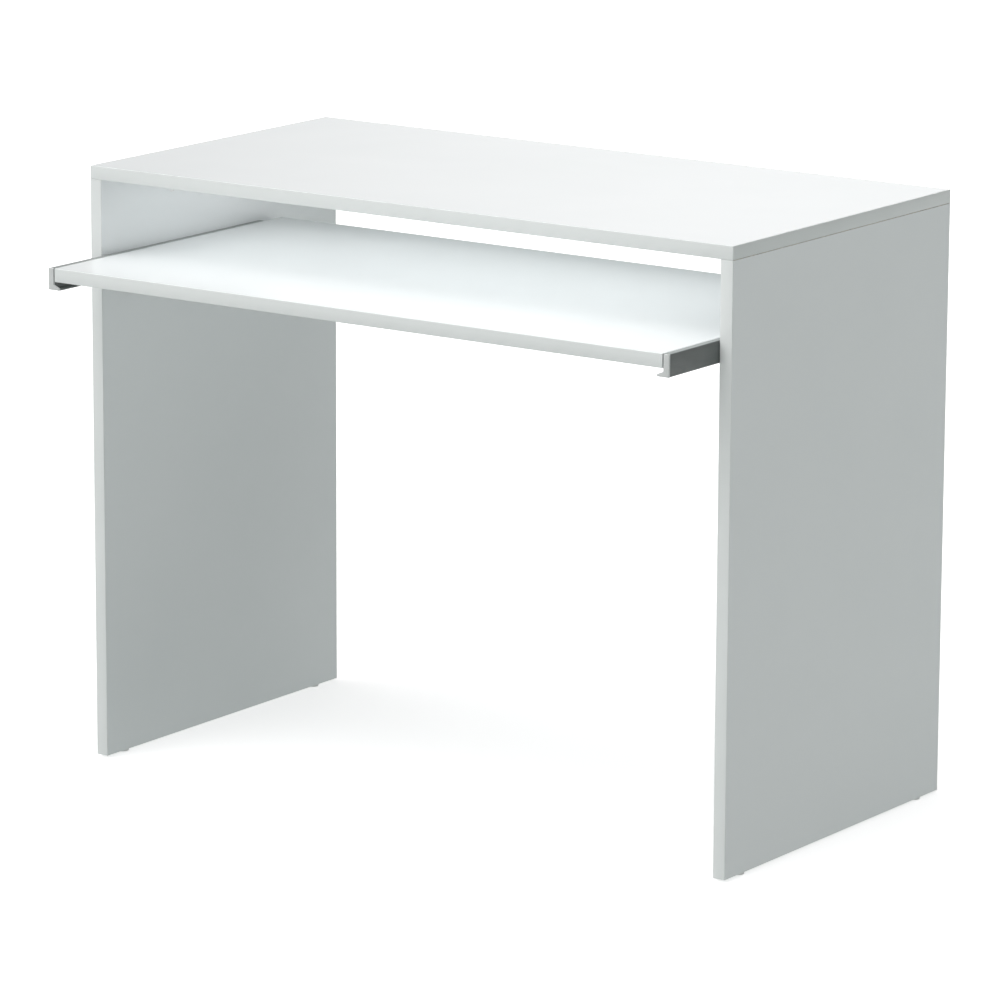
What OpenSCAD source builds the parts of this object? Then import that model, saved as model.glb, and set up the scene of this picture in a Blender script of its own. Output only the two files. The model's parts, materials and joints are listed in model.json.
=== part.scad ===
// Computer desk with a keyboard tray that pulls out on roller runners.
// X runs across the desk, Y from the front to the rear, Z up, in millimetres.
// The origin is on the floor, under the middle of the outline with the tray at rest.

/* [Desk] */
// Width over the top board
desk_w = 900; // [700:1:1400]
// Depth of the top board and of the side panels
desk_d = 460; // [380:1:700]
// Height over all, with the floor glides
desk_h = 720; // [600:1:900]
// Thickness of every board
board_t = 16; // [13:0.5:19]
// Thickness of the edging strips
edging_t = 1; // [0.4:0.2:2]
// Height of the rail under the rear of the top
rail_h = 90; // [60:1:200]
// Thickness of the floor glides
glide_t = 3; // [2:0.5:8]
// Diameter of the floor glides
glide_dia = 14; // [8:1:14]

/* [Keyboard tray] */
// Clear height between the tray and the top board
tray_drop = 90; // [60:1:200]
// How far the tray is pulled out at rest
tray_out = 98.5; // [0:0.5:200]
// Gap left behind the closed tray, in front of the rail
tray_rear_gap = 9; // [3:1:60]

/* [Runners] */
// Gap between the tray and each side panel
runner_gap = 9.5; // [9:0.1:18]
// Thickness of the runner steel
sheet = 1.2; // [0.8:0.1:1.5]
// Height of the boxed tray runner
box_h = 25.6; // [22:0.1:36]
// Width of the runner's foot under the tray
foot_w = 7; // [4:0.5:20]
// Thickness of the end cap's face
cap_t = 2.4; // [1:0.1:4]
// Height of the end cap's face at the foot's free edge
foot_face_h = 2.5; // [1.5:0.5:4]
// How much that face rises towards the box
gusset_rise = 3.5; // [0:0.5:5]
// Depth of the end cap's plug
plug_l = 10; // [4:1:30]
// Set-back of the cabinet runner from the front edge
cabinet_setback = 30; // [2:1:30]
// Length of the tray runner behind the desk's front edge with the tray fully out
runner_overlap = 100; // [70:1:140]
// Roller diameter
roller_dia = 15; // [12:0.5:24]
// Rivet diameter where the roller turns
rivet_dia = 4; // [3:0.5:5]

/* [Clearances] */
// Air above and below a roller in its track
roller_clear = 0.3; // [0.2:0.1:0.8]
// Radial play of a roller on its rivet
bore_clear = 0.05; // [0.02:0.01:0.1]
// Air between the tray runner and the cabinet runner below it
runner_clear = 1.6; // [1:0.1:4]
// Air between the tray runner and the side panel
panel_clear = 0.6; // [0.3:0.1:3]
// Air between parts that pass each other inside the runner
pass_clear = 0.3; // [0.2:0.1:1]

/* [Fittings] */
// Cam housing diameter
cam_dia = 15; // [12:0.5:18]
// Cam housing depth
cam_l = 11.5; // [9:0.5:11.5]
// Distance of a cam's centre from the joint
cam_reach = 24; // [20:1:34]
// Distance of the cams from the front and rear edges
cam_in = 133; // [80:1:150]
// Distance of the dowels from the front and rear edges
dowel_in = 37; // [30:1:60]
// Dowel diameter
dowel_dia = 8; // [5:0.5:8]
// Dowel length
dowel_l = 30; // [20:1:40]
// Screw shank diameter
screw_dia = 3.5; // [2.5:0.1:4]

/* [Hidden] */
$fn = 64;
cut = 1; // overshoot of every cutter

white = "white";
edging_white = "whitesmoke";
steel = "slategray";

// Desk: edges of the carcass
rear_y = (desk_d + tray_out) / 2;
front_y = rear_y - desk_d;
side_x = desk_w / 2 - board_t; // inner face of the right side
under_z = desk_h - board_t; // underside of the top
rail_z = under_z - rail_h;
rail_y = rear_y - board_t;

// Tray
tray_d = desk_d - board_t - tray_rear_gap;
tray_x = side_x - runner_gap; // right edge of the tray
tray_y = front_y - tray_out;
tray_z = under_z - tray_drop; // top face of the tray

// Runners come in lengths that step by 50 mm. Their sections are drawn with
// u outward from the tray's edge and z down from the tray's top face.
runner_step = 50;
runner_end_gap = 10;
runner_l = floor((tray_d - runner_end_gap) / runner_step) * runner_step;
travel = runner_l - runner_overlap;
box_w = runner_gap - panel_clear;
roller_r = roller_dia / 2;
rivet_r = rivet_dia / 2;
channel_top = -box_h - runner_clear;
track_top = channel_top - sheet;
track_bottom = track_top - roller_dia - 2 * roller_clear;
channel_bottom = track_bottom - sheet;
track_mid = (track_top + track_bottom) / 2;
web_u = runner_gap - sheet; // inner face of the cabinet runner's web
flange_u = sheet + 0.4; // free edge of its flanges
head_r = rivet_r + 1.5;
head_t = 0.7;
shoulder_t = 0.15; // air beside a roller
screw_head_r = 3.4;
screw_head_t = 1.2;
screw_l = 11;
roller_u = sheet + 2 * shoulder_t;
rivet_end_u = web_u - screw_head_t - pass_clear; // the rear rivet passes the screws' heads
roller_w = rivet_end_u - head_t - shoulder_t - roller_u;
roller_end_u = roller_u + roller_w;
roller_rim = 2.2; // wall between rim and side recess
roller_hub_r = rivet_r + 1.8;
recess_l = 1;
front_roller_y = cabinet_setback + roller_r + 3.5; // from the desk's front edge
front_roller_z = -box_h - roller_clear - roller_r;
rear_roller_y = runner_l - roller_r - 5.5; // from the tray's front edge
flange_cut_l = 2 * (front_roller_y - cabinet_setback) + 3; // top flange cut away over the front roller
stop_gap = 0.5;
stop_h = roller_r + roller_clear + 0.5; // reaches the roller's centre line
front_stop_y = rear_roller_y - travel - roller_r - stop_gap - sheet;
rear_stop_y = rear_roller_y + roller_r + stop_gap;
tongue_r = roller_r - 1; // end of the tongue that holds the rear roller
access_r = 4.5; // driver holes in the tray runner's outer wall
tray_screw_first = 130;
tray_screw_pitch = 120;
cabinet_screw_first = 69;
cabinet_screw_pitch = 128;
screw_end = 20; // least distance of a screw from a runner's end
tray_screw_y = [for (y = [tray_screw_first : tray_screw_pitch : runner_l - screw_end]) y];
cabinet_screw_y =
    [for (y = [cabinet_screw_first : cabinet_screw_pitch : cabinet_setback + runner_l - screw_end]) y];
cap_groove = 0.4; // the runner's inner wall shows beside the cap

// Fittings
bolt_r = 3.5; // shank of a cam bolt
bolt_thread_r = 2.5;
bolt_thread_l = 10;
bolt_neck = cam_dia / 2 - 1.5; // the bolt's head stands this far from the cam's centre
cap_disc_t = 0.8; // cover caps lie in the mouth of each cam's hole
dowel_top_l = 10; // length of a dowel in the joined board's face
rail_cam_z = rail_h * 3 / 4;
rail_dowel_z = rail_h / 4;
nail_r = 1.2;
nail_l = 14;
glide_in = 40;

// A box between two corners
module block(from, to) {
    translate(from) cube(to - from);
}

// A round bar from a point, along +X
module bar_x(at, r, l) {
    translate(at) rotate([0, 90, 0]) cylinder(r = r, h = l);
}

// A round bar from a point, along +Y
module bar_y(at, r, l) {
    translate(at) rotate([-90, 0, 0]) cylinder(r = r, h = l);
}

// A round bar from a point, along +Z
module bar_z(at, r, l) {
    translate(at) cylinder(r = r, h = l);
}

module both_sides() {
    children();
    mirror([1, 0, 0]) children();
}

// ---- Fittings of the right half; the left half mirrors them ----

mid_x = side_x + board_t / 2; // middle of the side's thickness
mid_y = rail_y + board_t / 2; // middle of the rail's thickness
side_cams_y = [front_y + cam_in, rear_y - cam_in];
side_dowels_y = [front_y + dowel_in, rear_y - dowel_in];

// Cam housings: in the sides' inner faces and the rail's rear face
module cams(from, to) {
    for (y = side_cams_y) bar_x([side_x + from, y, under_z - cam_reach], cam_dia / 2, to - from);
    bar_y([side_x - cam_reach, rear_y - to, rail_z + rail_cam_z], cam_dia / 2, to - from);
}

// Cam bolts: from the top down into the sides, from the sides into the rail
module bolts() {
    bolt_l = cam_reach - bolt_neck;
    for (y = side_cams_y) {
        bar_z([mid_x, y, under_z - bolt_l], bolt_r, bolt_l);
        bar_z([mid_x, y, under_z], bolt_thread_r, bolt_thread_l);
    }
    bar_x([side_x - bolt_l, mid_y, rail_z + rail_cam_z], bolt_r, bolt_l);
    bar_x([side_x, mid_y, rail_z + rail_cam_z], bolt_thread_r, bolt_thread_l);
}

// Dowels beside the cams, in the same joints
module dowel_pins() {
    for (y = side_dowels_y) bar_z([mid_x, y, under_z + dowel_top_l - dowel_l], dowel_dia / 2, dowel_l);
    bar_x([side_x + dowel_top_l - dowel_l, mid_y, rail_z + rail_dowel_z], dowel_dia / 2, dowel_l);
}

module glide_nails() {
    for (y = [front_y + glide_in, rear_y - glide_in]) bar_z([mid_x, y, 0], nail_r, glide_t + nail_l);
}

module cabinet_screw_shanks() {
    for (y = cabinet_screw_y)
        bar_x([tray_x + web_u, front_y + y, tray_z + track_mid], screw_dia / 2, sheet + screw_l);
}

module tray_screw_shanks() {
    for (y = tray_screw_y)
        bar_x([tray_x - screw_l, tray_y + y, tray_z - board_t / 2], screw_dia / 2, sheet + screw_l);
}

// Everything that is bored into the boards, on both halves
module joinery() {
    both_sides() {
        cams(-cut, cam_l);
        bolts();
        dowel_pins();
        glide_nails();
        cabinet_screw_shanks();
    }
}

// ---- Boards and their edging ----

module desktop() {
    color(white) difference() {
        block([edging_t - desk_w / 2, front_y + edging_t, under_z],
            [desk_w / 2 - edging_t, rear_y - edging_t, desk_h]);
        joinery();
    }
}

module desktop_edging() {
    color(edging_white) difference() {
        block([-desk_w / 2, front_y, under_z], [desk_w / 2, rear_y, desk_h]);
        block([edging_t - desk_w / 2, front_y + edging_t, under_z - cut],
            [desk_w / 2 - edging_t, rear_y - edging_t, desk_h + cut]);
    }
}

module side_core() {
    block([side_x, front_y + edging_t, glide_t + edging_t], [desk_w / 2, rear_y - edging_t, under_z]);
}

module side() {
    color(white) difference() {
        side_core();
        joinery();
    }
}

module side_edging() {
    color(edging_white) difference() {
        block([side_x, front_y, glide_t], [desk_w / 2, rear_y, under_z]);
        block([side_x - cut, front_y + edging_t, glide_t + edging_t],
            [desk_w / 2 + cut, rear_y - edging_t, under_z + cut]);
        glide_nails();
    }
}

module left_side() {
    mirror([1, 0, 0]) side();
}

module right_side() {
    side();
}

module left_side_edging() {
    mirror([1, 0, 0]) side_edging();
}

module right_side_edging() {
    side_edging();
}

module rear_rail() {
    color(white) difference() {
        block([-side_x, rail_y, rail_z + edging_t], [side_x, rear_y, under_z]);
        joinery();
    }
}

module rear_rail_edging() {
    color(edging_white) block([-side_x, rail_y, rail_z], [side_x, rear_y, rail_z + edging_t]);
}

module keyboard_tray() {
    color(white) difference() {
        block([-tray_x, tray_y + edging_t, tray_z - board_t],
            [tray_x, tray_y + tray_d - edging_t, tray_z]);
        both_sides() tray_screw_shanks();
    }
}

module tray_edging() {
    color(edging_white) for (y = [tray_y, tray_y + tray_d - edging_t])
        block([-tray_x, y, tray_z - board_t], [tray_x, y + edging_t, tray_z]);
}

// ---- Runners, in u, y and z from the tray's or the desk's front edge ----

module at_tray() {
    translate([tray_x, tray_y, tray_z]) children();
}

module at_desk() {
    translate([tray_x, front_y, tray_z]) children();
}

// Folded box with a foot that turns in under the tray, and a tongue for the rear roller
module tray_runner() {
    color(steel) at_tray() difference() {
        union() {
            block([0, cap_t, -box_h], [box_w, runner_l, 0]);
            block([-foot_w, cap_t, -box_h], [cut, runner_l, sheet - box_h]);
            block([0, rear_roller_y - tongue_r, track_mid], [sheet, rear_roller_y + tongue_r, -cut]);
            bar_x([0, rear_roller_y, track_mid], tongue_r, sheet);
        }
        block([sheet, cap_t - cut, sheet - box_h], [box_w - sheet, runner_l + cut, -sheet]);
        bar_x([-cut, rear_roller_y, track_mid], rivet_r, sheet + 2 * cut);
        for (y = tray_screw_y) {
            bar_x([-cut, y, -board_t / 2], screw_dia / 2, sheet + 2 * cut);
            bar_x([sheet + cut, y, -board_t / 2], access_r, box_w);
        }
    }
}

module left_tray_runner() {
    mirror([1, 0, 0]) tray_runner();
}

module right_tray_runner() {
    tray_runner();
}

// Channel on the side panel, open towards the tray, with a stop for each end of the travel
module cabinet_runner() {
    runner_end = cabinet_setback + runner_l;
    color(steel) at_desk() difference() {
        union() {
            block([web_u, cabinet_setback, channel_bottom], [runner_gap, runner_end, channel_top]);
            block([flange_u, cabinet_setback, channel_bottom], [runner_gap, runner_end, track_bottom]);
            block([flange_u, cabinet_setback + flange_cut_l, track_top],
                [runner_gap, runner_end, channel_top]);
            block([flange_u, front_stop_y, track_top - stop_h],
                [roller_end_u, front_stop_y + sheet, channel_top]);
            block([flange_u, rear_stop_y, channel_bottom],
                [roller_end_u, rear_stop_y + sheet, track_bottom + stop_h]);
        }
        for (y = cabinet_screw_y)
            bar_x([web_u - cut, y, track_mid], screw_dia / 2, sheet + 2 * cut);
        bar_x([web_u - cut, front_roller_y, front_roller_z], rivet_r, sheet + 2 * cut);
    }
}

module left_cabinet_runner() {
    mirror([1, 0, 0]) cabinet_runner();
}

module right_cabinet_runner() {
    cabinet_runner();
}

// Plastic cap that closes the front of the tray runner, with a sloping face before its foot
module runner_cap() {
    plug_fit = 0.2;
    face_u = sheet + cap_groove;
    color("lightgray") at_tray() {
        block([face_u, 0, -box_h], [box_w, cap_t, 0]);
        translate([0, cap_t, -box_h]) rotate([90, 0, 0]) linear_extrude(cap_t)
            polygon([[-foot_w, 0], [face_u, 0], [face_u, foot_face_h + gusset_rise], [-foot_w, foot_face_h]]);
        block([sheet + plug_fit, cap_t - cap_t / 2, sheet + plug_fit - box_h],
            [box_w - sheet - plug_fit, cap_t + plug_l, -sheet - plug_fit]);
    }
}

module left_runner_cap() {
    mirror([1, 0, 0]) runner_cap();
}

module right_runner_cap() {
    runner_cap();
}

// Roller with a rim, a hub and a recess in each side, turned about its bore
module roller() {
    color("snow") rotate([0, 90, 0]) rotate_extrude() polygon([
        [rivet_r + bore_clear, 0],
        [roller_hub_r, 0],
        [roller_hub_r, recess_l],
        [roller_r - roller_rim, recess_l],
        [roller_r - roller_rim, 0],
        [roller_r, 0],
        [roller_r, roller_w],
        [roller_r - roller_rim, roller_w],
        [roller_r - roller_rim, roller_w - recess_l],
        [roller_hub_r, roller_w - recess_l],
        [roller_hub_r, roller_w],
        [rivet_r + bore_clear, roller_w]
    ]);
}

module front_roller() {
    at_desk() translate([roller_u, front_roller_y, front_roller_z]) roller();
}

module rear_roller() {
    at_tray() translate([roller_u, rear_roller_y, track_mid]) roller();
}

module left_front_roller() {
    mirror([1, 0, 0]) front_roller();
}

module right_front_roller() {
    front_roller();
}

module left_rear_roller() {
    mirror([1, 0, 0]) rear_roller();
}

module right_rear_roller() {
    rear_roller();
}

// Rivet through the cabinet runner's web: collar, shank and head
module front_rivet() {
    collar_u = roller_end_u + shoulder_t;
    head_u = roller_u - shoulder_t - head_t;
    color("silver") at_desk() {
        bar_x([head_u, front_roller_y, front_roller_z], head_r, head_t);
        bar_x([head_u, front_roller_y, front_roller_z], rivet_r, runner_gap - head_u);
        bar_x([collar_u, front_roller_y, front_roller_z], head_r, web_u - collar_u);
    }
}

// Rivet through the tray runner's tongue: head, collar, shank and end
module rear_rivet() {
    color("silver") at_tray() {
        bar_x([-head_t, rear_roller_y, track_mid], head_r, head_t);
        bar_x([-head_t, rear_roller_y, track_mid], rivet_r, head_t + rivet_end_u);
        bar_x([sheet, rear_roller_y, track_mid], head_r, shoulder_t);
        bar_x([rivet_end_u - head_t, rear_roller_y, track_mid], head_r, head_t);
    }
}

module left_front_rivet() {
    mirror([1, 0, 0]) front_rivet();
}

module right_front_rivet() {
    front_rivet();
}

module left_rear_rivet() {
    mirror([1, 0, 0]) rear_rivet();
}

module right_rear_rivet() {
    rear_rivet();
}

// ---- Screws and hidden fittings ----

module cabinet_runner_screws() {
    color("silver") both_sides() {
        cabinet_screw_shanks();
        for (y = cabinet_screw_y)
            bar_x([tray_x + web_u - screw_head_t, front_y + y, tray_z + track_mid],
                screw_head_r, screw_head_t);
    }
}

module tray_runner_screws() {
    color("silver") both_sides() {
        tray_screw_shanks();
        for (y = tray_screw_y)
            bar_x([tray_x + sheet, tray_y + y, tray_z - board_t / 2], screw_head_r, screw_head_t);
    }
}

module cam_housings() {
    color("silver") both_sides() difference() {
        cams(cap_disc_t, cam_l);
        bolts();
    }
}

module cam_bolts() {
    color("gray") both_sides() bolts();
}

module cam_caps() {
    color(edging_white) both_sides() cams(0, cap_disc_t);
}

module dowels() {
    color("burlywood") both_sides() dowel_pins();
}

module floor_glides() {
    color("gainsboro") both_sides() {
        glide_nails();
        for (y = [front_y + glide_in, rear_y - glide_in]) bar_z([mid_x, y, 0], glide_dia / 2, glide_t);
    }
}

desktop();
desktop_edging();
left_side();
right_side();
left_side_edging();
right_side_edging();
rear_rail();
rear_rail_edging();
keyboard_tray();
tray_edging();
left_cabinet_runner();
right_cabinet_runner();
left_tray_runner();
right_tray_runner();
left_runner_cap();
right_runner_cap();
left_front_roller();
right_front_roller();
left_rear_roller();
right_rear_roller();
left_front_rivet();
right_front_rivet();
left_rear_rivet();
right_rear_rivet();
cabinet_runner_screws();
tray_runner_screws();
cam_housings();
cam_bolts();
cam_caps();
dowels();
floor_glides();
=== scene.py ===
# White computer desk with a keyboard tray on roller runners.
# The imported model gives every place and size; each piece below is modelled over its node.
import json
import math

import bmesh
import bpy
from mathutils import Matrix, Vector


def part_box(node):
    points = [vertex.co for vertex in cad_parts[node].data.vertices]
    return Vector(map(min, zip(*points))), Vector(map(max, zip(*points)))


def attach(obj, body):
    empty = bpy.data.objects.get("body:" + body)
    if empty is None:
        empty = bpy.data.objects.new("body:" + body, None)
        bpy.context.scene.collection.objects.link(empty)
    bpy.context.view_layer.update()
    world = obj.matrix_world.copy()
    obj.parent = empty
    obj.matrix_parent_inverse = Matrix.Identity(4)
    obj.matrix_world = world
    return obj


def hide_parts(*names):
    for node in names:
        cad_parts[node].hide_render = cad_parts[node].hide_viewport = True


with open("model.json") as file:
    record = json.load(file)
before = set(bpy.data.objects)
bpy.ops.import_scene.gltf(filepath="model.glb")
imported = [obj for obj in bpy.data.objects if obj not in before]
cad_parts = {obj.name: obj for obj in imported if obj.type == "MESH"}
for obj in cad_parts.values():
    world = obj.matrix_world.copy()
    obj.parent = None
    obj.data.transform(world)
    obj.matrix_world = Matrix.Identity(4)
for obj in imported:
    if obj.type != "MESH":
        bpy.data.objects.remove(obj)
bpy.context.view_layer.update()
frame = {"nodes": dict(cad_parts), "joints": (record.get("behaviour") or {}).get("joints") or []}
mm = 0.001
weldGap = 0.001 * mm    # corners nearer than this are one corner
touchGap = 0.01 * mm    # a corner this near a face lies on it
sharpFrom = math.radians(50)
tipRadius = 0.15 * mm   # blunt end of a screw or nail
xAxis, yAxis, zAxis = Vector((1, 0, 0)), Vector((0, 1, 0)), Vector((0, 0, 1))


# Small tools: each one does what a hand would do in the viewport

def deselectAll():
    if bpy.context.mode != "OBJECT":
        bpy.ops.object.mode_set(mode="OBJECT")
    bpy.ops.object.select_all(action="DESELECT")


def pick(piece, *others):
    deselectAll()
    for obj in (*others, piece):
        obj.select_set(True)
    bpy.context.view_layer.objects.active = piece


def settle(name):
    piece = bpy.context.active_object
    piece.name = name
    bpy.ops.object.transform_apply(location=True, rotation=True, scale=True)
    return piece


def addBlock(name, low, high):
    deselectAll()
    low, high = Vector(low), Vector(high)
    bpy.ops.mesh.primitive_cube_add(size=1, location=(low + high) / 2, scale=high - low)
    return settle(name)


def addBar(name, start, axis, radius, length, sides=40):
    deselectAll()
    turn = zAxis.rotation_difference(axis).to_euler()
    bpy.ops.mesh.primitive_cylinder_add(vertices=sides, radius=radius, depth=length,
                                        location=Vector(start) + axis * length / 2, rotation=turn)
    return settle(name)


def openEdit(piece, mode="EDGE"):
    pick(piece)
    bpy.ops.object.mode_set(mode="EDIT")
    bpy.ops.mesh.select_mode(type=mode)
    bpy.ops.mesh.select_all(action="DESELECT")
    return bmesh.from_edit_mesh(piece.data)


def closeEdit():
    bpy.ops.object.mode_set(mode="OBJECT")


def selectFaces(mesh, test):
    for face in mesh.faces:
        face.select_set(test(face))
    mesh.select_flush_mode()


def selectEdges(mesh, test):
    for edge in mesh.edges:
        edge.select_set(test(edge))
    mesh.select_flush_mode()


def bevelEdges(piece, width, segments, test):
    mesh = openEdit(piece)
    selectEdges(mesh, test)
    bpy.ops.mesh.bevel(offset=width, segments=segments, profile=0.5, affect="EDGES", clamp_overlap=True)
    closeEdit()


def isSharp(edge):
    return len(edge.link_faces) == 2 and edge.calc_face_angle(0) > sharpFrom


def joinPieces(name, pieces):
    pick(pieces[0], *pieces[1:])
    bpy.ops.object.join()
    pieces[0].name = name
    return pieces[0]


def combine(piece, others, operation):
    other = joinPieces("other", others) if len(others) > 1 else others[0]
    pick(piece)
    bpy.ops.object.modifier_add(type="BOOLEAN")
    change = piece.modifiers[-1]
    change.object = other
    change.operation = operation
    change.solver = "EXACT"
    bpy.ops.object.modifier_apply(modifier=change.name)
    bpy.data.objects.remove(other)


def cutWith(piece, cutters):
    combine(piece, cutters, "DIFFERENCE")


def weldWith(piece, others):
    combine(piece, others, "UNION")


def smooth(piece, angle=35):
    pick(piece)
    bpy.ops.object.shade_smooth_by_angle(angle=math.radians(angle))


def mirrored(piece, name):
    pick(piece)
    bpy.ops.object.duplicate()
    twin = bpy.context.active_object
    twin.name = name
    twin.scale.x = -1
    bpy.ops.object.transform_apply(scale=True)
    openEdit(twin, "FACE")
    bpy.ops.mesh.select_all(action="SELECT")
    bpy.ops.mesh.normals_make_consistent(inside=False)
    closeEdit()
    return twin


# A round part is turned: a disc is extruded along its axis and resized step by step
def turned(name, start, axis, steps, sides=40):
    advance, radius = steps[0]
    spot = Vector(start) + axis * advance
    deselectAll()
    bpy.ops.mesh.primitive_circle_add(vertices=sides, radius=radius, fill_type="NGON", location=spot,
                                      rotation=zAxis.rotation_difference(axis).to_euler())
    piece = settle(name)
    openEdit(piece, "FACE")
    bpy.ops.mesh.select_all(action="SELECT")
    for advance, nextRadius in steps[1:]:
        spot = spot + axis * advance
        bpy.ops.mesh.extrude_region_move(TRANSFORM_OT_translate={"value": axis * advance})
        bpy.ops.transform.resize(value=[nextRadius / radius] * 3, center_override=spot)
        radius = nextRadius
    bpy.ops.mesh.select_all(action="SELECT")
    bpy.ops.mesh.normals_make_consistent(inside=False)
    closeEdit()
    return piece


def placed(pattern, name, spots):  # copies of a part modelled upright at the origin
    twins = []
    for spot, axis in spots:
        pick(pattern)
        bpy.ops.object.duplicate()
        twin = bpy.context.active_object
        twin.location = spot
        twin.rotation_euler = zAxis.rotation_difference(axis).to_euler()
        bpy.ops.object.transform_apply(location=True, rotation=True, scale=True)
        twins.append(twin)
    bpy.data.objects.remove(pattern)
    return joinPieces(name, twins)


# Every round solid of a node: its middle, its axis away from the desk's middle, its radius and its length
def roundSolids(node):
    pick(frame["nodes"][node])
    bpy.ops.object.duplicate()
    openEdit(bpy.context.active_object, "VERT")
    bpy.ops.mesh.select_all(action="SELECT")
    bpy.ops.mesh.remove_doubles(threshold=weldGap)
    bpy.ops.mesh.separate(type="LOOSE")
    closeEdit()
    found = []
    for part in list(bpy.context.selected_objects):
        corners = [v.co for v in part.data.vertices]
        low = Vector([min(c[i] for c in corners) for i in range(3)])
        high = Vector([max(c[i] for c in corners) for i in range(3)])
        bpy.data.objects.remove(part)
        size, middle = high - low, (low + high) / 2
        along = min(range(3), key=lambda i: abs(size[i - 1] - size[i - 2]))
        axis = Vector([math.copysign(1, middle[along]) if i == along else 0 for i in range(3)])
        found.append((middle, axis, size[along - 1] / 2, size[along]))
    return found


# Cams face inwards in the sides and rearwards in the rail, so their mouths look along this axis
def mouthOf(axis):
    return -axis if abs(axis.x) > 0.5 else axis


# The corners are (x, z), and the sheet runs along +Y from its start
def foldedSheet(name, corners, start, length, thickness, bend):
    deselectAll()
    bpy.ops.mesh.primitive_plane_add(size=mm, location=(corners[0][0], start, corners[0][1]))
    sheet = settle(name)
    openEdit(sheet, "VERT")
    bpy.ops.mesh.select_all(action="SELECT")
    bpy.ops.mesh.merge(type="CENTER")
    for before, after in zip(corners, corners[1:]):
        step = (after[0] - before[0], 0, after[1] - before[1])
        bpy.ops.mesh.extrude_vertices_move(TRANSFORM_OT_translate={"value": step})
    bpy.ops.mesh.select_all(action="SELECT")
    bpy.ops.mesh.extrude_edges_move(TRANSFORM_OT_translate={"value": (0, length, 0)})
    bpy.ops.mesh.select_all(action="SELECT")
    bpy.ops.mesh.normals_make_consistent(inside=False)
    closeEdit()
    bevelEdges(sheet, bend, 4, lambda edge: len(edge.link_faces) == 2)
    bpy.ops.object.modifier_add(type="SOLIDIFY")
    wall = sheet.modifiers[-1]
    wall.thickness = thickness
    wall.offset = 0
    wall.use_even_offset = True
    bpy.ops.object.modifier_apply(modifier=wall.name)
    return sheet


def paint(piece, *materials):
    piece.data.materials.clear()
    for material in materials:
        piece.data.materials.append(material)


def paintInside(piece, test=lambda face: True):  # with the second of its materials
    for face in piece.data.polygons:
        if test(face):
            face.material_index = 1


def hand(piece, body, slot, *nodes):
    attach(piece, body)
    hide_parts(*nodes)


def dress(piece, material, body, slot, node, angle=35):
    paint(piece, material)
    smooth(piece, angle)
    hand(piece, body, slot, node)


def dressPair(piece, material, body, slot, node):  # the right piece and its mirror image on the left
    paint(piece, material)
    smooth(piece)
    twin = mirrored(piece, piece.name.replace("right", "left"))
    hand(piece, body, slot, node)
    hand(twin, body.replace("right", "left"), slot, node.replace("right", "left"))


# Materials, all on Object coordinates

def colourSockets(sockets):
    return [socket for socket in sockets if socket.type == "RGBA"]


class Shader:
    def __init__(self, name):
        self.material = bpy.data.materials.new(name)
        self.material.use_nodes = True
        self.tree = self.material.node_tree
        self.surface = self.tree.nodes["Principled BSDF"]
        self.place = self.add("ShaderNodeTexCoord").outputs["Object"]

    def add(self, kind, **values):
        node = self.tree.nodes.new(kind)
        for key, value in values.items():
            setattr(node, key, value)
        return node

    def link(self, source, target):
        self.tree.links.new(source, target)

    def stretched(self, scale):
        mapping = self.add("ShaderNodeMapping")
        mapping.inputs["Scale"].default_value = scale
        self.link(self.place, mapping.inputs["Vector"])
        return mapping.outputs["Vector"]

    def noise(self, scale, detail=2, stretch=(1, 1, 1), roughness=0.5):
        noise = self.add("ShaderNodeTexNoise")
        noise.inputs["Scale"].default_value = scale
        noise.inputs["Detail"].default_value = detail
        noise.inputs["Roughness"].default_value = roughness
        self.link(self.stretched(stretch), noise.inputs["Vector"])
        return noise.outputs["Fac"]

    def ramp(self, source, stops):
        ramp = self.add("ShaderNodeValToRGB")
        while len(ramp.color_ramp.elements) < len(stops):
            ramp.color_ramp.elements.new(0.5)
        for element, (spot, colour) in zip(ramp.color_ramp.elements, stops):
            element.position = spot
            element.color = (*colour, 1)
        self.link(source, ramp.inputs["Fac"])
        return ramp.outputs["Color"]

    def clouded(self, source, deep, pale, stops=(0.3, 0.7)):
        return self.ramp(source, list(zip(stops, (deep, pale))))

    def spread(self, source, low, high):
        spread = self.add("ShaderNodeMapRange")
        spread.inputs["To Min"].default_value = low
        spread.inputs["To Max"].default_value = high
        self.link(source, spread.inputs["Value"])
        return spread.outputs["Result"]

    def mix(self, share, under, over):
        mix = self.add("ShaderNodeMix", data_type="RGBA")
        lower, upper = colourSockets(mix.inputs)
        upper.default_value = (*over, 1)
        self.link(share, mix.inputs["Factor"])
        self.link(under, lower)
        return colourSockets(mix.outputs)[0]

    def upward(self):  # how far a face looks up
        split = self.add("ShaderNodeSeparateXYZ")
        self.link(self.add("ShaderNodeNewGeometry").outputs["Normal"], split.inputs["Vector"])
        return split.outputs["Z"]

    def bump(self, source, height, after=None):
        bump = self.add("ShaderNodeBump")
        bump.inputs["Strength"].default_value = 1
        bump.inputs["Distance"].default_value = height
        self.link(source, bump.inputs["Height"])
        if after is not None:
            self.link(after, bump.inputs["Normal"])
        return bump.outputs["Normal"]

    def wear(self, colour=None, roughness=None, normal=None, **settings):
        for value, socket in ((colour, "Base Color"), (roughness, "Roughness"), (normal, "Normal")):
            if value is not None:
                self.link(value, self.surface.inputs[socket])
        for socket, value in settings.items():
            self.surface.inputs[socket.replace("_", " ")].default_value = value
        return self.material


def grey(value):
    return (value, value, value)


laminateLook = dict(
    deep=(0.81, 0.835, 0.84), pale=(0.84, 0.86, 0.865), cloud=3.2,  # very faint clouding of the print
    smear=1.6, roughLow=0.16, roughHigh=0.24,            # wiped patches change the gloss
    peel=420, peelHeight=0.006 * mm,                     # orange peel of the pressed melamine
)


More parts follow.
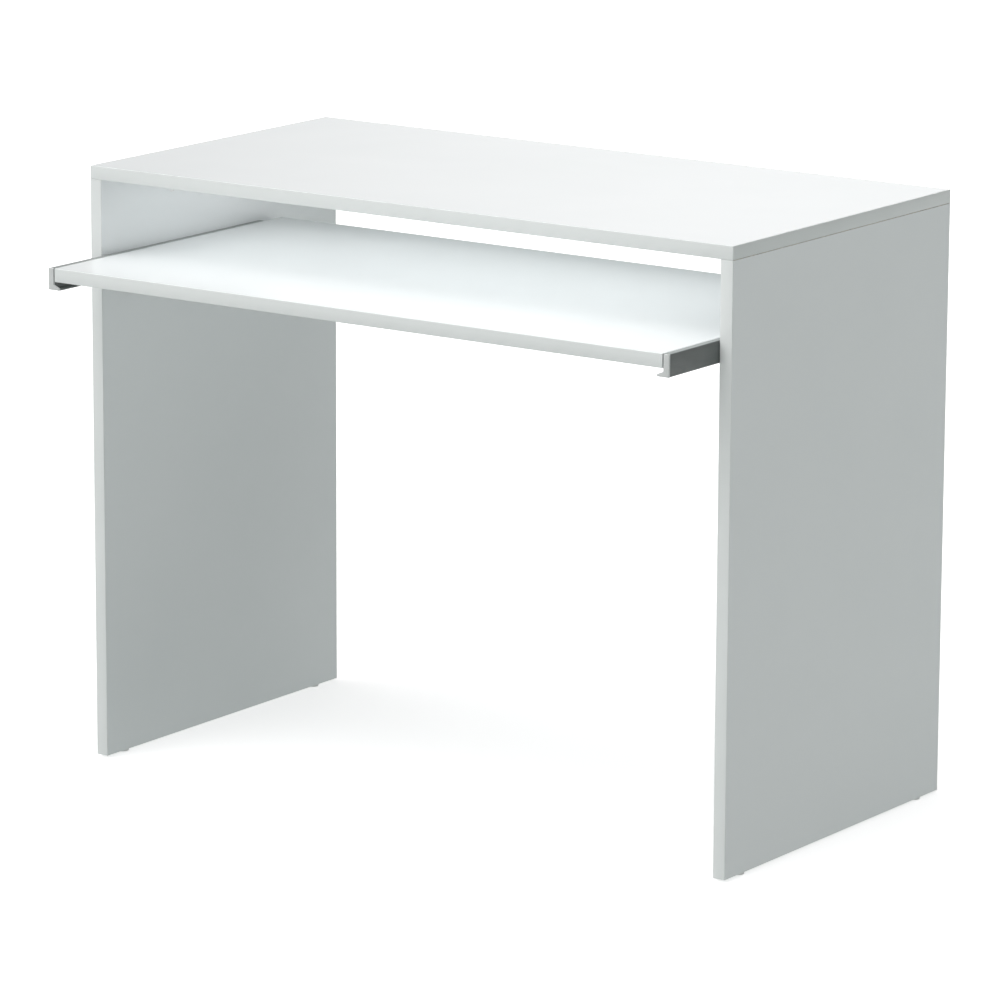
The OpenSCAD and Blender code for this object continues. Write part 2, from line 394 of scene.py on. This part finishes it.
def makeLaminate():
    look = laminateLook
    shader = Shader("whiteLaminate")
    colour = shader.clouded(shader.noise(look["cloud"], 3), look["deep"], look["pale"])
    rough = shader.spread(shader.noise(look["smear"], 4, roughness=0.6), look["roughLow"], look["roughHigh"])
    normal = shader.bump(shader.noise(look["peel"], 2), look["peelHeight"])
    return shader.wear(colour, rough, normal, IOR=1.5)


edgingLook = dict(
    deep=(0.73, 0.753, 0.745), pale=(0.76, 0.784, 0.776), cloud=9,
    smear=26, roughLow=0.26, roughHigh=0.36,
    grain=900, grainHeight=0.008 * mm,
)


def makeEdging():
    look = edgingLook
    shader = Shader("absEdging")
    colour = shader.clouded(shader.noise(look["cloud"], 2), look["deep"], look["pale"])
    rough = shader.spread(shader.noise(look["smear"], 3), look["roughLow"], look["roughHigh"])
    normal = shader.bump(shader.noise(look["grain"], 2), look["grainHeight"])
    return shader.wear(colour, rough, normal, IOR=1.48)


chipLook = dict(
    tones=[(0.0, (0.20, 0.12, 0.06)), (0.35, (0.42, 0.28, 0.15)),
           (0.6, (0.58, 0.42, 0.25)), (1.0, (0.72, 0.57, 0.38))],
    chips=420, stretch=(1, 0.45, 1.6), height=0.15 * mm, rough=0.85,
)


def makeChipboard():
    look = chipLook
    shader = Shader("rawChipboard")
    cells = shader.add("ShaderNodeTexVoronoi")
    cells.inputs["Scale"].default_value = look["chips"]
    shader.link(shader.stretched(look["stretch"]), cells.inputs["Vector"])
    split = shader.add("ShaderNodeSeparateColor")
    shader.link(cells.outputs["Color"], split.inputs["Color"])
    colour = shader.ramp(split.outputs["Red"], look["tones"])
    normal = shader.bump(cells.outputs["Distance"], look["height"])
    return shader.wear(colour, None, normal, Roughness=look["rough"])


steelLook = dict(
    deep=(0.120, 0.131, 0.128), pale=(0.150, 0.163, 0.160), mottle=70,
    rub=190, roughLow=0.38, roughHigh=0.50,
    paintedTopLight=(0.30, 0.32, 0.315), paintedTopLightFrom=0.7,  # painted highlight: faces that look up are made paler, standing in for the light falling from above
    roll=260, rollHeight=0.004 * mm,         # rolling marks run along the sheet
)


def makeRunnerSteel():
    look = steelLook
    shader = Shader("runnerSteel")
    mottle = shader.noise(look["mottle"], 3, stretch=(1, 0.35, 1))
    colour = shader.clouded(mottle, look["deep"], look["pale"])
    # painted highlight: a paler colour is mixed in by how far a face looks up, as light from above would make
    # it look
    paintedTopShare = shader.clouded(shader.upward(), grey(0), grey(1), (look["paintedTopLightFrom"], 1))
    colour = shader.mix(paintedTopShare, colour, look["paintedTopLight"])
    rubbed = shader.noise(look["rub"], 2, stretch=(1, 0.2, 1))
    rough = shader.spread(rubbed, look["roughLow"], look["roughHigh"])
    normal = shader.bump(shader.noise(look["roll"], 2, stretch=(1, 0.1, 1)), look["rollHeight"])
    return shader.wear(colour, rough, normal, Metallic=0.1, Specular_IOR_Level=0.3)


def makePlastic(name, colour, roughness, grain=600, height=0.01 * mm, spread=0.03):
    shader = Shader(name)
    deep, pale = [tuple(max(0, c + d) for c in colour) for d in (-spread, spread)]
    tone = shader.clouded(shader.noise(60, 2), deep, pale, (0.35, 0.65))
    rough = shader.spread(shader.noise(220, 2), roughness - 0.05, roughness + 0.05)
    normal = shader.bump(shader.noise(grain, 2), height)
    return shader.wear(tone, rough, normal)


def makePlated(name, colour, roughness):
    shader = Shader(name)
    deep, pale = [tuple(c * d for c in colour) for d in (0.86, 1.08)]
    tone = shader.clouded(shader.noise(380, 3), deep, pale)
    rough = shader.spread(shader.noise(520, 2), roughness - 0.06, roughness + 0.08)
    return shader.wear(tone, rough, shader.bump(shader.noise(700, 2), 0.006 * mm), Metallic=1.0)


beechLook = dict(
    tones=[(0.3, (0.46, 0.27, 0.13)), (0.55, (0.60, 0.39, 0.21)), (0.8, (0.68, 0.47, 0.28))],
    fibre=260, stretch=(1, 1, 0.12), height=0.05 * mm, rough=0.62,
)


def makeBeech():
    look = beechLook
    shader = Shader("beech")
    fibre = shader.noise(look["fibre"], 4, stretch=look["stretch"], roughness=0.6)
    tone = shader.ramp(fibre, look["tones"])
    return shader.wear(tone, None, shader.bump(fibre, look["height"]), Roughness=look["rough"])


laminate = makeLaminate()
edging = makeEdging()
chipboard = makeChipboard()
runnerSteel = makeRunnerSteel()
capNylon = makePlastic("capNylon", (0.60, 0.615, 0.61), 0.42)
rollerNylon = makePlastic("rollerNylon", (0.78, 0.78, 0.74), 0.36)
glidePlastic = makePlastic("glidePlastic", (0.70, 0.70, 0.69), 0.45)
coverPlastic = makePlastic("coverPlastic", (0.80, 0.81, 0.81), 0.35)
rivetSteel = makePlated("rivetSteel", (0.62, 0.63, 0.64), 0.30)
screwSteel = makePlated("screwSteel", (0.66, 0.66, 0.67), 0.26)
camZinc = makePlated("camZinc", (0.52, 0.52, 0.53), 0.40)
boltSteel = makePlated("boltSteel", (0.50, 0.50, 0.52), 0.32)
beech = makeBeech()
print("materials made")


# Boards: chipboard cores with thin edging strips

board = dict(softEdge=0.2 * mm, edgeRadius=0.8 * mm, edgeSteps=3, mouth=1.8 * mm, facing=0.9)


def entersBoard(middle, half, low, high):
    return all(abs(middle[i] - (low[i] + high[i]) / 2) <= (high[i] - low[i]) / 2 + abs(half[i])
               for i in range(3))


def drill(core, low, high, fitting):  # bores for the fittings that enter this board
    bores = []
    for middle, axis, radius, length in roundSolids(fitting):
        half = axis * length / 2
        if not entersBoard(middle, half, low, high):
            continue
        start, reach = middle - half, length
        if fitting == "cam_housings":  # open at the face, past the cover cap
            axis = mouthOf(axis)
            start, reach = middle - axis * length / 2, length + board["mouth"]
        bore = addBar("bore", start, axis, radius, reach, 48)
        paint(bore, laminate, chipboard)
        paintInside(bore)
        bores.append(bore)
    if bores:
        cutWith(core, bores)


def makeCore(name, node, rawSides):
    low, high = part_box(node)
    core = addBlock(name, low, high)
    bevelEdges(core, board["softEdge"], 2, isSharp)
    paint(core, laminate, chipboard)
    for fitting in ("cam_housings", "cam_bolts", "dowels"):
        drill(core, low, high, fitting)
    # The edges without a strip show the chips
    paintInside(core, lambda face: any(face.normal.dot(side) > board["facing"] for side in rawSides))
    return core


def makeStrip(low, high, outward):
    strip = addBlock("strip", low, high)
    reach = max(Vector(corner).dot(outward) for corner in (low, high))
    bevelEdges(strip, board["edgeRadius"], board["edgeSteps"],
               lambda edge: all(v.co.dot(outward) > reach - touchGap for v in edge.verts))
    return strip


railEdgingLow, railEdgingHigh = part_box("rear_rail_edging")
band = railEdgingHigh.z - railEdgingLow.z  # thickness of every edging strip
topLow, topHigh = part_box("desktop_edging")
sideLow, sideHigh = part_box("right_side_edging")
trayLow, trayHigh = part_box("tray_edging")


def makeTop():
    core = makeCore("topBoard", "desktop", [])
    hand(core, "desk", "laminate", "desktop")
    low, high = topLow, topHigh
    strips = [
        makeStrip((low.x, low.y, low.z), (high.x, low.y + band, high.z), -yAxis),
        makeStrip((low.x, high.y - band, low.z), (high.x, high.y, high.z), yAxis),
        makeStrip((low.x, low.y + band, low.z), (low.x + band, high.y - band, high.z), -xAxis),
        makeStrip((high.x - band, low.y + band, low.z), (high.x, high.y - band, high.z), xAxis),
    ]
    dress(joinPieces("topEdging", strips), edging, "desk", "edging", "desktop_edging")


def makeSides():
    low, high = sideLow, sideHigh
    core = makeCore("rightPanel", "right_side", [zAxis])
    strips = [
        makeStrip((low.x, low.y, low.z), (high.x, low.y + band, high.z), -yAxis),
        makeStrip((low.x, high.y - band, low.z), (high.x, high.y, high.z), yAxis),
        makeStrip((low.x, low.y + band, low.z), (high.x, high.y - band, low.z + band), -zAxis),
    ]
    rim = joinPieces("rightPanelEdging", strips)
    paint(rim, edging)
    smooth(rim)
    leftCore = mirrored(core, "leftPanel")
    leftRim = mirrored(rim, "leftPanelEdging")
    hand(core, "desk", "laminate", "right_side")
    hand(leftCore, "desk", "laminate", "left_side")
    hand(rim, "desk", "edging", "right_side_edging")
    hand(leftRim, "desk", "edging", "left_side_edging")


def makeRail():
    core = makeCore("rearRail", "rear_rail", [zAxis])
    hand(core, "desk", "laminate", "rear_rail")
    strip = makeStrip(railEdgingLow, railEdgingHigh, -zAxis)
    strip.name = "rearRailEdging"
    dress(strip, edging, "desk", "edging", "rear_rail_edging")


def makeTray():
    core = makeCore("trayBoard", "keyboard_tray", [])  # its sides have paper-thin edging
    hand(core, "tray", "laminate", "keyboard_tray")
    low, high = trayLow, trayHigh
    rim = joinPieces("trayEdging", [
        makeStrip(low, (high.x, low.y + band, high.z), -yAxis),
        makeStrip((low.x, high.y - band, low.z), high, yAxis),
    ])
    dress(rim, edging, "tray", "edging", "tray_edging")


makeTop()
makeSides()
makeRail()
makeTray()
print("boards made")


# Runners

runner = dict(
    sheet=1.2 * mm, bend=0.9 * mm,                       # bend radius at the middle of the sheet
    innerEnd=1.05,                                       # in sheets: the inner wall ends just above the foot
    accessRadius=4.5 * mm,                               # driver holes in the tray runner's outer wall
    tongueRadius=6.5 * mm,                               # end of the tongue that holds the rear roller
    flangeCut=25 * mm,                                   # top flange cut away over the front roller
    stopGap=0.5 * mm, stopRise=8.3 * mm,                 # tabs that stop the rear roller
    soft=0.25 * mm,
)


def makeTrayRunners():
    sheet = runner["sheet"]
    low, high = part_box("right_tray_runner")
    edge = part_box("keyboard_tray")[1].x
    bottom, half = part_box("right_runner_cap")[0].z, sheet / 2
    box = foldedSheet("rightTrayRunner", [
        (low.x, bottom + half), (high.x - half, bottom + half), (high.x - half, high.z - half),
        (edge + half, high.z - half), (edge + half, bottom + runner["innerEnd"] * sheet)],
        low.y, high.y - low.y, sheet, runner["bend"])
    rollerLow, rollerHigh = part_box("right_rear_roller")
    axle = (rollerLow + rollerHigh) / 2
    reach = runner["tongueRadius"]
    tongue = addBlock("tongue", (edge, axle.y - reach, axle.z),
                      (edge + sheet, axle.y + reach, bottom + 2 * sheet))
    weldWith(tongue, [addBar("tongueEnd", (edge, axle.y, axle.z), xAxis, reach, sheet)])
    weldWith(box, [tongue])
    drivers = [Vector((edge + 2 * sheet, middle.y, middle.z))
               for middle, *_ in roundSolids("tray_runner_screws") if middle.x > 0]
    cutWith(box, [addBar("access", spot, xAxis, runner["accessRadius"], high.x - edge) for spot in drivers])
    dressPair(box, runnerSteel, "tray", "runner_steel", "right_tray_runner")


def makeCabinetRunners():
    sheet, gap, rise = runner["sheet"], runner["stopGap"], runner["stopRise"]
    low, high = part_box("right_cabinet_runner")
    half = sheet / 2
    channel = foldedSheet("rightCabinetRunner", [
        (low.x, high.z - half), (high.x - half, high.z - half),
        (high.x - half, low.z + half), (low.x, low.z + half)], low.y, high.y - low.y, sheet, runner["bend"])
    cutWith(channel, [addBlock("flangeCut", (low.x - sheet, low.y - sheet, high.z - 2 * sheet),
                               (high.x - sheet, low.y + runner["flangeCut"], high.z + sheet))])
    rollerLow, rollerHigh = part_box("right_rear_roller")
    closed, pulled = [joint for joint in frame["joints"] if joint["name"] == "tray_slide"][0]["range_m"]
    front = rollerLow.y - pulled - gap
    rear = rollerHigh.y - closed + gap
    tabs = [addBlock("frontStop", (low.x, front - sheet, high.z - sheet - rise),
                     (rollerHigh.x, front, high.z - half)),
            addBlock("rearStop", (low.x, rear, low.z + half),
                     (rollerHigh.x, rear + sheet, low.z + sheet + rise))]
    for tab in tabs:
        bevelEdges(tab, runner["soft"], 2, isSharp)
        weldWith(channel, [tab])
    dressPair(channel, runnerSteel, "desk", "runner_steel", "right_cabinet_runner")


cap = dict(
    face=2.4 * mm, groove=0.4 * mm,       # the runner's inner wall shows beside the face
    footFace=2.5 * mm, gusset=3.5 * mm,   # the foot's face rises by the gusset towards the box
    soft=0.35 * mm, plugFit=0.2 * mm,
)


def makeCaps():
    low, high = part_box("right_runner_cap")
    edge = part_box("keyboard_tray")[1].x
    inner = edge + runner["sheet"] + cap["groove"]
    upright = addBlock("rightRunnerCap", (inner, low.y, low.z), (high.x, low.y + cap["face"], high.z))
    foot = addBlock("capFoot", (low.x, low.y, low.z), (inner, low.y + cap["face"], low.z + cap["footFace"]))
    mesh = openEdit(foot)
    selectEdges(mesh, lambda edge: all(v.co.x > inner - touchGap and v.co.z > low.z + mm for v in edge.verts))
    bpy.ops.transform.translate(value=(0, 0, cap["gusset"]))
    closeEdit()
    weldWith(upright, [foot])
    bevelEdges(upright, cap["soft"], 3, isSharp)
    fit = runner["sheet"] + cap["plugFit"]
    plug = addBlock("capPlug", (edge + fit, low.y + cap["face"] / 2, low.z + fit),
                    (high.x - fit, high.y, high.z - fit))
    bevelEdges(plug, cap["soft"], 2, isSharp)
    weldWith(upright, [plug])
    dressPair(upright, capNylon, "tray", "cap_plastic", "right_runner_cap")


roller = dict(
    bore=2.05 * mm, hub=3.8 * mm, rim=2.2 * mm, recess=1 * mm,
    soft=0.3 * mm, holes=6, hole=0.5 * mm,
)


def makeRoller(end):
    node = "right_" + end + "_roller"
    low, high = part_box(node)
    middle, width, radius = (low + high) / 2, high.x - low.x, (high.z - low.z) / 2
    hub, inside, soft, recess = roller["hub"], radius - roller["rim"], roller["soft"], roller["recess"]
    wheel = turned("right" + end.title() + "Roller", (low.x, middle.y, middle.z), xAxis, [
        (0, roller["bore"]), (0, hub - soft), (soft, hub), (recess - soft, hub),
        (0, inside), (soft - recess, inside), (-soft, inside + soft), (0, radius - soft), (soft, radius),
        (width - 2 * soft, radius), (soft, radius - soft), (0, inside + soft), (-soft, inside),
        (soft - recess, inside), (0, hub), (recess - soft, hub), (soft, hub - soft), (0, roller["bore"])], 48)
    mesh = openEdit(wheel, "FACE")
    selectFaces(mesh, lambda face: len(face.verts) > 4)
    bpy.ops.mesh.bridge_edge_loops()
    bpy.ops.mesh.select_all(action="SELECT")
    bpy.ops.mesh.normals_make_consistent(inside=False)
    closeEdit()
    ring = (hub + inside) / 2
    turns = [2 * math.pi * i / roller["holes"] for i in range(roller["holes"])]
    starts = [middle + Vector((-width, ring * math.cos(turn), ring * math.sin(turn))) for turn in turns]
    cutWith(wheel, [addBar("hole", start, xAxis, roller["hole"], 2 * width, 16) for start in starts])
    dressPair(wheel, rollerNylon, node, "roller_nylon", node)  # each roller is a body named like its node


# A list of steps gives how far each one goes on, and the radius there
rivet = dict(
    shank=2 * mm, washer=0.15 * mm,
    dome=[(0, 1.0 * mm), (0.12 * mm, 2.1 * mm), (0.2 * mm, 2.9 * mm), (0.38 * mm, 3.5 * mm)],
)


def makeRivet(name, node, body, steps):
    low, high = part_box(node)
    middle = (low + high) / 2
    pin = turned(name, (low.x, middle.y, middle.z), xAxis, steps, 32)
    dressPair(pin, rivetSteel, body, "rivet_steel", node)


def makeRivets():
    shank, dome, washer, sheet = rivet["shank"], rivet["dome"], rivet["washer"], runner["sheet"]
    head, headHeight = dome[-1][1], sum(step for step, _ in dome)
    low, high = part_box("right_front_rivet")
    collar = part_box("right_front_roller")[1].x + washer
    makeRivet("rightFrontRivet", "right_front_rivet", "desk", dome + [
        (0, shank), (collar - low.x - headHeight, shank), (0, head), (high.x - sheet - collar, head),
        (0, shank), (sheet, shank)])
    low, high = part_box("right_rear_rivet")
    tail = [(0, head)] + [(dome[i][0], dome[i - 1][1]) for i in range(len(dome) - 1, 0, -1)]
    makeRivet("rightRearRivet", "right_rear_rivet", "tray", dome + [
        (0, shank), (sheet, shank), (0, head), (washer, head), (0, shank),
        (high.x - low.x - 2 * headHeight - sheet - washer, shank)] + tail)


screw = dict(
    head=[(0, 1.5 * mm), (0.12 * mm, 2.5 * mm), (0.28 * mm, 3.15 * mm), (0.4 * mm, 3.4 * mm),
          (0.4 * mm, 3.3 * mm)],
    core=1.25 * mm, thread=1.75 * mm, pitch=1.5 * mm, point=2.2 * mm,
    slotLong=4.2 * mm, slotWide=0.9 * mm, slotDeep=0.85 * mm,
)


def crossCut(piece, long, wide, deep):
    for x, y in ((long, wide), (wide, long)):
        cutWith(piece, [addBlock("slot", (-x / 2, -y / 2, -mm), (x / 2, y / 2, deep))])


def makeScrews(name, node, body, inwards):
    solids = roundSolids(node)
    length = solids[0][3]
    headHeight = sum(step for step, _ in screw["head"])
    steps = list(screw["head"]) + [(0, screw["thread"]), (screw["pitch"] / 2, screw["core"])]
    turns = int((length - headHeight - screw["point"]) / screw["pitch"]) - 1
    quarter = screw["pitch"] / 4
    for _ in range(turns):
        steps += [(2 * quarter, screw["core"]), (quarter, screw["thread"]), (quarter, screw["core"])]
    steps.append((length - sum(step for step, _ in steps), tipRadius))
    pattern = turned("screw", (0, 0, 0), zAxis, steps, 32)
    crossCut(pattern, screw["slotLong"], screw["slotWide"], screw["slotDeep"])
    spots = []
    for middle, axis, *_ in solids:
        drive = -axis if inwards else axis
        spots.append((middle - drive * length / 2, drive))
    dress(placed(pattern, name, spots), screwSteel, body, "screw_steel", node)


cam = dict(
    soft=0.4 * mm, lip=4.0 * mm, waist=5.4 * mm, base=0.5 * mm,
    slotLong=7 * mm, slotWide=1.4 * mm, slotDeep=2.6 * mm,
)


def fromMouths(solids):  # where each one begins at the board's face, and which way it goes in
    length = solids[0][3]
    return [(middle + mouthOf(axis) * length / 2, -mouthOf(axis)) for middle, axis, *_ in solids]


def fromEnds(solids):
    length = solids[0][3]
    return [(middle - axis * length / 2, axis) for middle, axis, *_ in solids]


def makeCams():
    solids = roundSolids("cam_housings")
    radius, length, soft = max(s[2] for s in solids), solids[0][3], cam["soft"]
    pattern = turned("cam", (0, 0, 0), zAxis, [
        (0, radius - soft), (soft, radius), (cam["lip"] - soft, radius), (0, cam["waist"]),
        (length - cam["lip"] - cam["base"], cam["waist"]), (0, radius), (cam["base"], radius)])
    crossCut(pattern, cam["slotLong"], cam["slotWide"], cam["slotDeep"])
    cams = placed(pattern, "camHousings", fromMouths(solids))
    dress(cams, camZinc, "desk", "cam_zinc", "cam_housings")


cover = dict(soft=0.2 * mm, fit=0.1 * mm, dish=0.15 * mm, dishRim=0.8, dishFloor=0.7)


def makeCovers():
    solids = roundSolids("cam_caps")
    radius, depth = solids[0][2] - cover["fit"], solids[0][3]
    soft, dish = cover["soft"], cover["dish"]
    pattern = turned("cover", (0, 0, 0), zAxis, [
        (dish, radius * cover["dishFloor"]), (-dish, radius * cover["dishRim"]), (0, radius - soft),
        (soft, radius), (depth - soft, radius)], 48)
    covers = placed(pattern, "camCovers", fromMouths(solids))
    dress(covers, coverPlastic, "desk", "cover_plastic", "cam_caps")


bolt = dict(
    head=[(0, 1.6 * mm), (0.7 * mm, 2.8 * mm), (1.1 * mm, 2.8 * mm), (0.7 * mm, 1.9 * mm),
          (2.6 * mm, 1.9 * mm)],  # the cam grips the neck behind the head
    shoulder=0.6 * mm, shank=3.4 * mm,
    threadLong=10 * mm, core=2.05 * mm, thread=2.5 * mm, pitch=1.6 * mm, tip=1.5 * mm,
)


def makeBolts():
    solids = roundSolids("cam_bolts")
    length = solids[0][3]
    steps = bolt["head"] + [(bolt["shoulder"], bolt["shank"])]
    steps.append((length - bolt["threadLong"] - sum(step for step, _ in steps), bolt["shank"]))
    steps.append((0, bolt["core"]))
    quarter = bolt["pitch"] / 4
    for _ in range(int(bolt["threadLong"] / bolt["pitch"])):
        steps += [(quarter, bolt[radius]) for radius in ("core", "thread", "thread", "core")]
    steps.append((length - sum(step for step, _ in steps), bolt["tip"]))
    pattern = turned("bolt", (0, 0, 0), zAxis, steps, 32)
    dress(placed(pattern, "camBolts", fromEnds(solids)), boltSteel, "desk", "bolt_steel", "cam_bolts")


dowel = dict(chamfer=1 * mm, flute=0.94, sides=32, smooth=20)


def makeDowels():
    solids = roundSolids("dowels")
    _, _, radius, length = solids[0]
    chamfer = dowel["chamfer"]
    pattern = turned("dowel", (0, 0, 0), zAxis, [(0, radius - chamfer), (chamfer, radius),
                                                 (length - 2 * chamfer, radius), (chamfer, radius - chamfer)],
                     dowel["sides"])
    mesh = openEdit(pattern, "EDGE")
    turn = 2 * math.pi / dowel["sides"]
    longEdges = [e for e in mesh.edges if e.calc_length() > length / 2]
    for edge in longEdges:  # every other arris is pressed in as a flute
        spot = edge.verts[0].co
        edge.select_set(round(math.atan2(spot.y, spot.x) / turn) % 2 == 0)
    mesh.select_flush_mode()
    bpy.ops.transform.resize(value=(dowel["flute"], dowel["flute"], 1), center_override=(0, 0, length / 2))
    closeEdit()
    dowels = placed(pattern, "jointDowels", fromEnds(solids))
    dress(dowels, beech, "desk", "beech", "dowels", dowel["smooth"])


glide = dict(
    pad=3 * mm,
    # the foot's rounded edge: how far each step goes on, and how far inside the pad's radius it is
    foot=[(0, 1.6 * mm), (0.2 * mm, 0.7 * mm), (0.4 * mm, 0.2 * mm), (0.5 * mm, 0)],
    backHeight=0.2 * mm, backInset=0.3 * mm, wallShort=1.3 * mm,
    well=0.8 * mm, wellEdge=0.4 * mm,  # the nail's head lies in a well
    nail=1.2 * mm, nailHead=2.3 * mm, headSoft=0.2 * mm, headHalf=0.4 * mm,
    nailShort=2.4 * mm, point=1.6 * mm,
)


def makeGlides():
    solids = roundSolids("floor_glides")
    _, _, radius, height = solids[0]
    well, head, shank = glide["well"], glide["nailHead"], glide["nail"]
    steps = [(well, head), (-well, head + glide["wellEdge"])]
    steps += [(step, radius - inset) for step, inset in glide["foot"]]
    steps += [(glide["pad"] - glide["wallShort"], radius), (glide["backHeight"], radius - glide["backInset"])]
    pad = turned("glidePad", (0, 0, 0), zAxis, steps, 48)
    paint(pad, glidePlastic, rivetSteel)
    nail = turned("glideNail", (0, 0, 0), zAxis, [
        (glide["headHalf"], head - glide["headSoft"]), (glide["headHalf"], head), (0, shank),
        (height - glide["nailShort"], shank), (glide["point"], tipRadius)], 24)
    paint(nail, glidePlastic, rivetSteel)
    paintInside(nail)
    pattern = joinPieces("glide", [pad, nail])
    glides = placed(pattern, "floorGlides", [(m - zAxis * height / 2, zAxis) for m, _, _, _ in solids])
    smooth(glides)
    hand(glides, "desk", "glide_plastic", "floor_glides")


makeTrayRunners()
makeCabinetRunners()
makeCaps()
for end in ("front", "rear"):
    makeRoller(end)
makeRivets()
print("runners made")
makeScrews("cabinetScrews", "cabinet_runner_screws", "desk", inwards=False)
makeScrews("trayScrews", "tray_runner_screws", "tray", inwards=True)
makeCams()
makeCovers()
makeBolts()
makeDowels()
makeGlides()
print("fittings made")


# Floor, light and camera

studio = dict(floorSize=60, floorTone=0.70, floorFade=0.01, floorCloud=0.7, floorGlow=0.6)


def makeFloor():
    deselectAll()
    bpy.ops.mesh.primitive_plane_add(size=studio["floorSize"], location=(0, 0, 0))
    floor = settle("floor")
    shader = Shader("paleFloor")
    tone = studio["floorTone"]
    cloud = shader.noise(studio["floorCloud"], 2)
    colour = shader.clouded(cloud, grey(tone - studio["floorFade"]), grey(tone))
    paint(floor, shader.wear(colour, None, None, Roughness=0.9, Specular_IOR_Level=0.1,
                             Emission_Color=(1, 1, 1, 1), Emission_Strength=studio["floorGlow"]))
    floor.visible_diffuse = False  # light from below comes from the sky, so it stays even


sky = dict(
    base=0.05, backdrop=1.0,
    # where each soft patch lies, where its edge begins and ends, its power and its colour
    patches=[
        ((-0.20, -0.15, 1.00), 0.70, 0.97, 2.5, (1.0, 1.0, 1.0)),
        ((-0.34, 0.92, 0.15), 0.91, 0.985, 0.9, (1.0, 1.0, 1.0)),
        ((-0.35, -0.85, 0.75), 0.70, 0.98, 1.85, (1.0, 1.0, 1.0)),
        ((1.00, 0.00, 0.05), 0.85, 0.99, 0.85, (0.93, 1.0, 0.98)),
        ((0.00, 0.00, -1.00), -0.05, 0.05, 0.46, (0.93, 1.0, 0.98)),
    ],
)


def makeSky():
    world = bpy.data.worlds.new("studioSky")
    bpy.context.scene.world = world
    world.use_nodes = True
    nodes, links = world.node_tree.nodes, world.node_tree.links
    outward = nodes.new("ShaderNodeTexCoord").outputs["Generated"]
    total = nodes.new("ShaderNodeCombineColor").outputs["Color"]
    for socket in total.node.inputs[:3]:
        socket.default_value = sky["base"]
    for toward, begin, end, power, colour in sky["patches"]:
        dot = nodes.new("ShaderNodeVectorMath")
        dot.operation = "DOT_PRODUCT"
        dot.inputs[1].default_value = Vector(toward).normalized()
        links.new(outward, dot.inputs[0])
        edge = nodes.new("ShaderNodeMapRange")
        edge.interpolation_type = "SMOOTHSTEP"
        for socket, value in (("From Min", begin), ("From Max", end), ("To Max", power)):
            edge.inputs[socket].default_value = value
        links.new(dot.outputs["Value"], edge.inputs["Value"])
        patch = nodes.new("ShaderNodeVectorMath")
        patch.operation = "MULTIPLY_ADD"
        patch.inputs[0].default_value = colour
        links.new(edge.outputs["Result"], patch.inputs[1])
        links.new(total, patch.inputs[2])
        total = patch.outputs["Vector"]
    plain = nodes.new("ShaderNodeMix")  # the camera sees a plain backdrop instead of the patches
    plain.data_type = "RGBA"
    lower, upper = colourSockets(plain.inputs)
    upper.default_value = (*grey(sky["backdrop"]), 1)
    links.new(nodes.new("ShaderNodeLightPath").outputs["Is Camera Ray"], plain.inputs["Factor"])
    links.new(total, lower)
    background = nodes["Background"]
    links.new(colourSockets(plain.outputs)[0], background.inputs["Color"])
    background.inputs["Strength"].default_value = 1


fill = dict(drop=4 * mm, inset=30 * mm, power=0.5)  # soft light on the tray, close under the top


def makeFill():
    low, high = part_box("keyboard_tray")
    front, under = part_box("desktop")[0].y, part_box("desktop")[0].z
    middle = Vector(((low.x + high.x) / 2, (front + high.y) / 2, under - fill["drop"]))
    deselectAll()
    bpy.ops.object.light_add(type="AREA", location=middle)
    lamp = bpy.context.active_object
    lamp.name = "trayFill"
    lamp.data.shape = "RECTANGLE"
    lamp.data.size = high.x - low.x - 2 * fill["inset"]
    lamp.data.size_y = high.y - front - 2 * fill["inset"]
    lamp.data.energy = fill["power"]
    lamp.visible_camera = False


cameraSet = dict(
    yaw=35.2, pitch=12.813, roll=0.249, place=(3.6978, -5.2217, 1.7993),
    lens=201.77, sensor=36, far=100,
)


def makeCamera():
    deselectAll()
    bpy.ops.object.camera_add(location=cameraSet["place"])
    camera = bpy.context.active_object
    camera.name = "camera"
    camera.data.lens = cameraSet["lens"]
    camera.data.sensor_width = cameraSet["sensor"]
    yaw, pitch, roll = (math.radians(cameraSet[key]) for key in ("yaw", "pitch", "roll"))
    level = Matrix.Rotation(yaw, 3, "Z") @ Matrix.Rotation(math.pi / 2 - pitch, 3, "X")
    camera.rotation_euler = (level @ Matrix.Rotation(roll, 3, "Z")).to_euler()
    camera.data.clip_end = cameraSet["far"]
    bpy.context.scene.camera = camera


makeFloor()
makeSky()
makeFill()
makeCamera()
bpy.context.scene.view_settings.view_transform = "Standard"
print("studio made")
